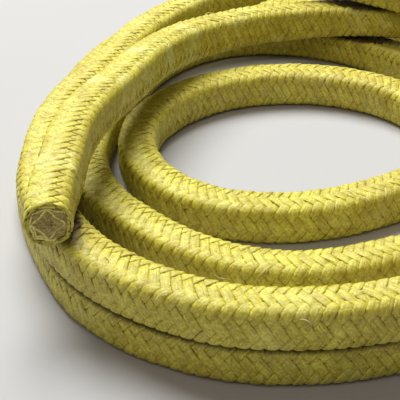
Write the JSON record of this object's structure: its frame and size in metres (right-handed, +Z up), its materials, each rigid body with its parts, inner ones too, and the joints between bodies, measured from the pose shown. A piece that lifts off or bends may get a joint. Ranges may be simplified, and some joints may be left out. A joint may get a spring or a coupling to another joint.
{
  "type": "coil of gland packing rope",
  "caption": "Loose coil of square braided gland packing rope with one cut end lying on top, to be cut into stuffing box rings.",
  "frame": {"origin": "centre of the coil's box in plan, on the surface that the coil rests on", "axes": "+Z up, -Y towards the side that the cut end points to, +Y along the longest side of the box"},
  "size_m": [0.209, 0.237, 0.0393],
  "materials": {
    "braid": "matt braided fibre with a thin dry film of lubricant"
  },
  "bodies": {
    "root": {"packing_rope": "braid"}
  },
  "joints": []
}
